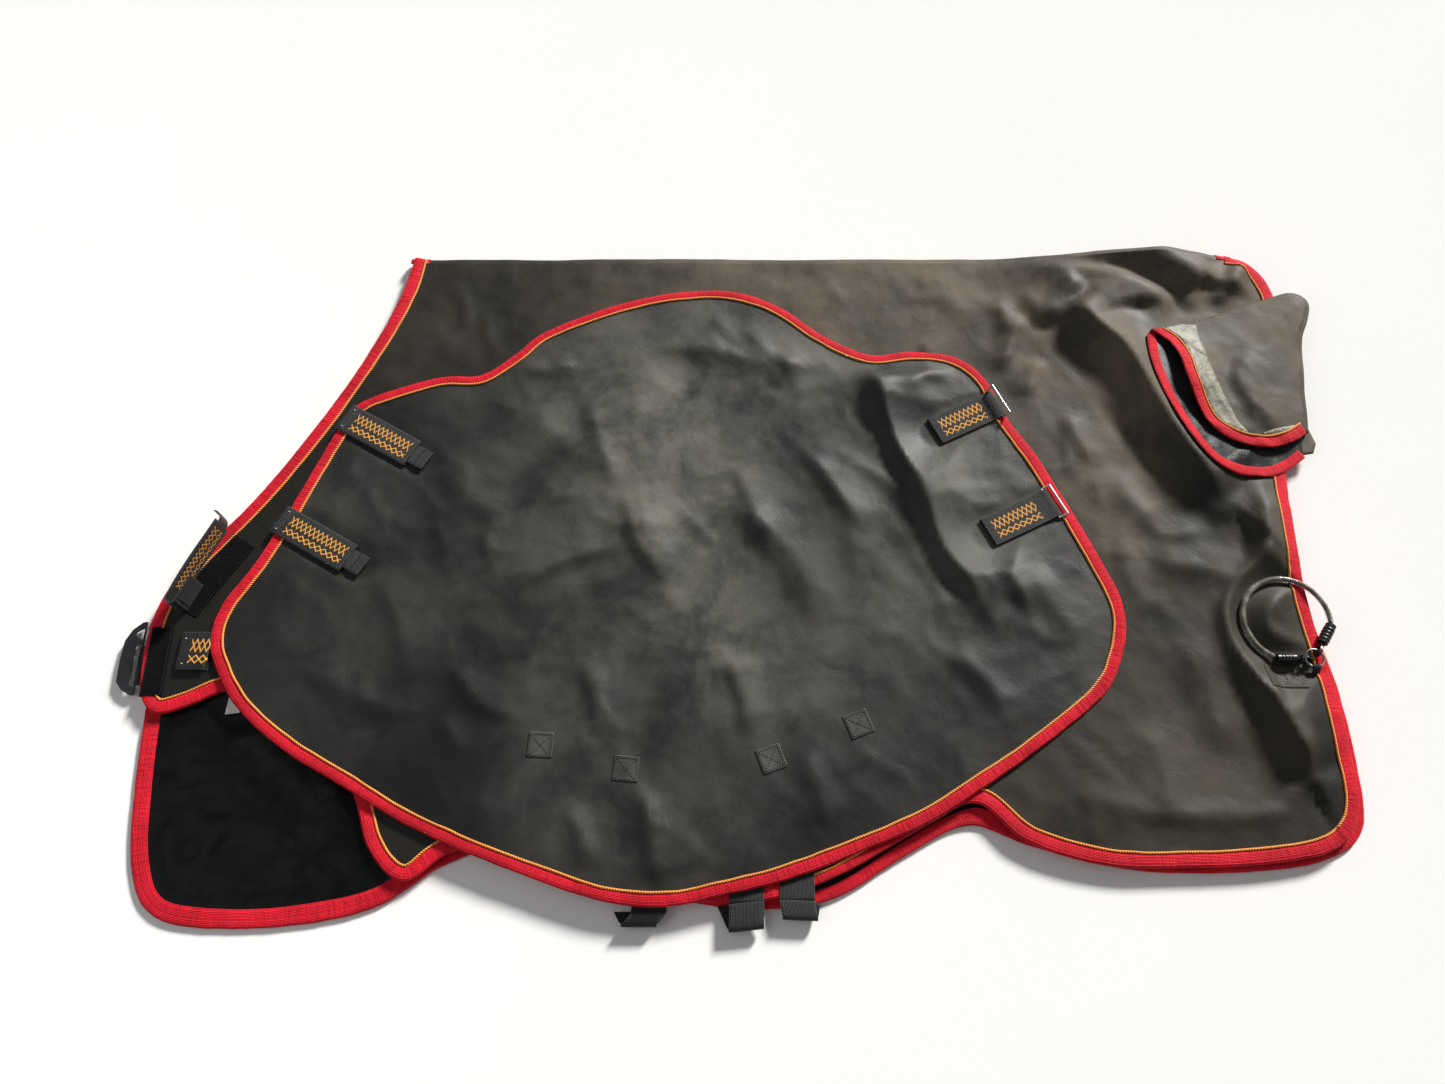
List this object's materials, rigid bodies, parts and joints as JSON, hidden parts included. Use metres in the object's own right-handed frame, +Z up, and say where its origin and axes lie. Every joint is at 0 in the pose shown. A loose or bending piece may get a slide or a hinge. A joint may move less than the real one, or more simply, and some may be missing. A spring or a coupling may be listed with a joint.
{
  "type": "turnout rug",
  "caption": "Folded horse turnout rug in charcoal canvas with crimson binding and gold piping, its detachable neck cover laid open on top.",
  "frame": {"origin": "middle of the folded rug on its resting face, the outside of the far side", "axes": "+X from the neck to the tail, +Y from the belly to the spine fold, +Z up out of the resting face"},
  "size_m": [1.912, 1.1454, 0.0665],
  "materials": {
    "canvas": "coated woven canvas, dusty charcoal brown, soft sheen",
    "cover_canvas": "coated woven canvas, neutral charcoal, soft sheen",
    "wadding": "white polyester wadding, matt",
    "lining": "black smooth woven nylon, satin",
    "binding": "crimson ribbed woven tape",
    "piping": "gold corded piping",
    "webbing": "black woven webbing with gold woven motif",
    "hook_loop": "black hook-and-loop, deep matt pile",
    "plastic": "black moulded plastic",
    "steel": "bright welded wire",
    "cord": "dark ribbed cord",
    "sleeve": "clear flexible tube",
    "reflective": "pale grey reflective tape",
    "label": "white satin care label, blank"
  },
  "bodies": {
    "near_side": {"near_shell": "canvas", "near_fill": "wadding", "near_lining": "lining", "near_binding": "binding", "near_piping": "piping", "spine_fold": "canvas", "chest_strap_base": "webbing", "chest_strap_low": "webbing", "hook_loop_strip": "hook_loop", "hook_loop_patch": "hook_loop", "chest_plate_tab": "webbing", "care_label": "label", "surcingles": "webbing", "flap_tape": "webbing", "tail_anchor_patch": "canvas", "tail_ring_tab": "webbing"},
    "far_side": {"far_shell": "canvas", "far_fill": "wadding", "far_lining": "lining", "far_binding": "binding", "far_piping": "piping"},
    "neck_cover": {"neck_shell": "cover_canvas", "neck_fill": "wadding", "neck_lining": "lining", "neck_binding": "binding", "neck_piping": "piping", "neck_strap_bases": "webbing", "keeper_tabs": "webbing", "anchor_patches": "cover_canvas"},
    "neck_strap_1": {"neck_strap_upper": "webbing", "neck_strap_upper_tab": "webbing"},
    "neck_strap_2": {"neck_strap_lower": "webbing", "neck_strap_lower_tab": "webbing"},
    "ring_1": {"keeper_ring_upper": "steel"},
    "ring_2": {"keeper_ring_lower": "steel"},
    "chest_strap_leg": {"chest_strap": "webbing", "chest_pull_tab": "webbing"},
    "slotted_plate": {"chest_plate": "plastic"},
    "belly_loop_a": {"surcingle_loop_a": "webbing"},
    "belly_loop_b": {"surcingle_loop_b": "webbing"},
    "belly_loop_c": {"surcingle_loop_c": "webbing"},
    "tail_flap": {"flap_shell": "canvas", "flap_lining": "lining", "flap_binding": "binding", "flap_piping": "piping", "reflective_strip": "reflective"},
    "tail_cord_set": {"tail_ring": "steel", "tail_cord": "cord", "tail_cord_sleeve": "sleeve", "tail_cord_barrels": "plastic"},
    "hook_a": {"snap_hook_a": "plastic"},
    "gate_a": {"snap_gate_a": "plastic"},
    "hook_b": {"snap_hook_b": "plastic"},
    "gate_b": {"snap_gate_b": "plastic"}
  },
  "joints": [
    {"name": "far_side_unfold", "type": "hinge", "parent": "near_side", "child": "far_side", "pos_m": [0, 0.541, 0.0084], "axis": [1, 0, 0], "range_deg": [0, 180]},
    {"name": "neck_cover_lift", "type": "slide", "parent": "near_side", "child": "neck_cover", "axis": [0, 0, 1], "range_m": [0, 0.25]},
    {"name": "neck_strap_1_peel", "type": "hinge", "parent": "neck_cover", "child": "neck_strap_1", "pos_m": [-0.629, 0.215, 0.0278], "axis": [-0.5, -0.866, 0], "range_deg": [0, 165]},
    {"name": "neck_strap_2_peel", "type": "hinge", "parent": "neck_cover", "child": "neck_strap_2", "pos_m": [-0.711, 0.03, 0.0278], "axis": [-0.5, -0.866, 0], "range_deg": [0, 165]},
    {"name": "ring_1_turn", "type": "hinge", "parent": "neck_cover", "child": "ring_1", "pos_m": [0.456, 0.238, 0.02775], "axis": [0.4384, -0.8988, 0], "range_deg": [-62, 110]},
    {"name": "ring_2_turn", "type": "hinge", "parent": "neck_cover", "child": "ring_2", "pos_m": [0.528, 0.056, 0.02775], "axis": [0.4384, -0.8988, 0], "range_deg": [-10, 162]},
    {"name": "chest_strap_swing", "type": "hinge", "parent": "near_side", "child": "chest_strap_leg", "pos_m": [-0.841, -0.119, 0.0185], "axis": [0, 0, 1], "range_deg": [0, 50]},
    {"name": "slotted_plate_lift", "type": "hinge", "parent": "near_side", "child": "slotted_plate", "pos_m": [-0.8975, -0.198, 0.0084], "axis": [0, 1, 0], "range_deg": [-8, 88]},
    {"name": "belly_loop_a_swing", "type": "hinge", "parent": "near_side", "child": "belly_loop_a", "pos_m": [-0.104, -0.573, 0.0178], "axis": [-1, 0, 0], "range_deg": [-20, 60]},
    {"name": "belly_loop_b_swing", "type": "hinge", "parent": "near_side", "child": "belly_loop_b", "pos_m": [0.034, -0.563, 0.0178], "axis": [-1, 0, 0], "range_deg": [-20, 60]},
    {"name": "belly_loop_c_swing", "type": "hinge", "parent": "near_side", "child": "belly_loop_c", "pos_m": [0.106, -0.56, 0.0178], "axis": [-1, 0, 0], "range_deg": [-20, 60]},
    {"name": "tail_flap_turn", "type": "hinge", "parent": "near_side", "child": "tail_flap", "pos_m": [0.95, 0.17, 0.02], "axis": [0.1676, 0.9859, 0], "range_deg": [0, 165]},
    {"name": "tail_cord_lift", "type": "hinge", "parent": "near_side", "child": "tail_cord_set", "pos_m": [0.903, -0.217, 0.0272], "axis": [1, 0, 0], "range_deg": [0, 150]},
    {"name": "hook_a_swivel", "type": "hinge", "parent": "tail_cord_set", "child": "hook_a", "pos_m": [0.889, -0.203, 0.0272], "axis": [-1, 0, 0], "range_deg": [-30, 30]},
    {"name": "gate_a_open", "type": "hinge", "parent": "hook_a", "child": "gate_a", "pos_m": [0.88303, -0.203, 0.03221], "axis": [0, 1, 0], "range_deg": [0, 22], "stiffness_Nm_per_rad": 0.01},
    {"name": "hook_b_swivel", "type": "hinge", "parent": "tail_cord_set", "child": "hook_b", "pos_m": [0.91083, -0.19139, 0.0272], "axis": [0.5592, 0.829, 0], "range_deg": [-30, 30]},
    {"name": "gate_b_open", "type": "hinge", "parent": "hook_b", "child": "gate_b", "pos_m": [0.91417, -0.18645, 0.03221], "axis": [0.829, -0.5592, 0], "range_deg": [0, 22], "stiffness_Nm_per_rad": 0.01}
  ]
}
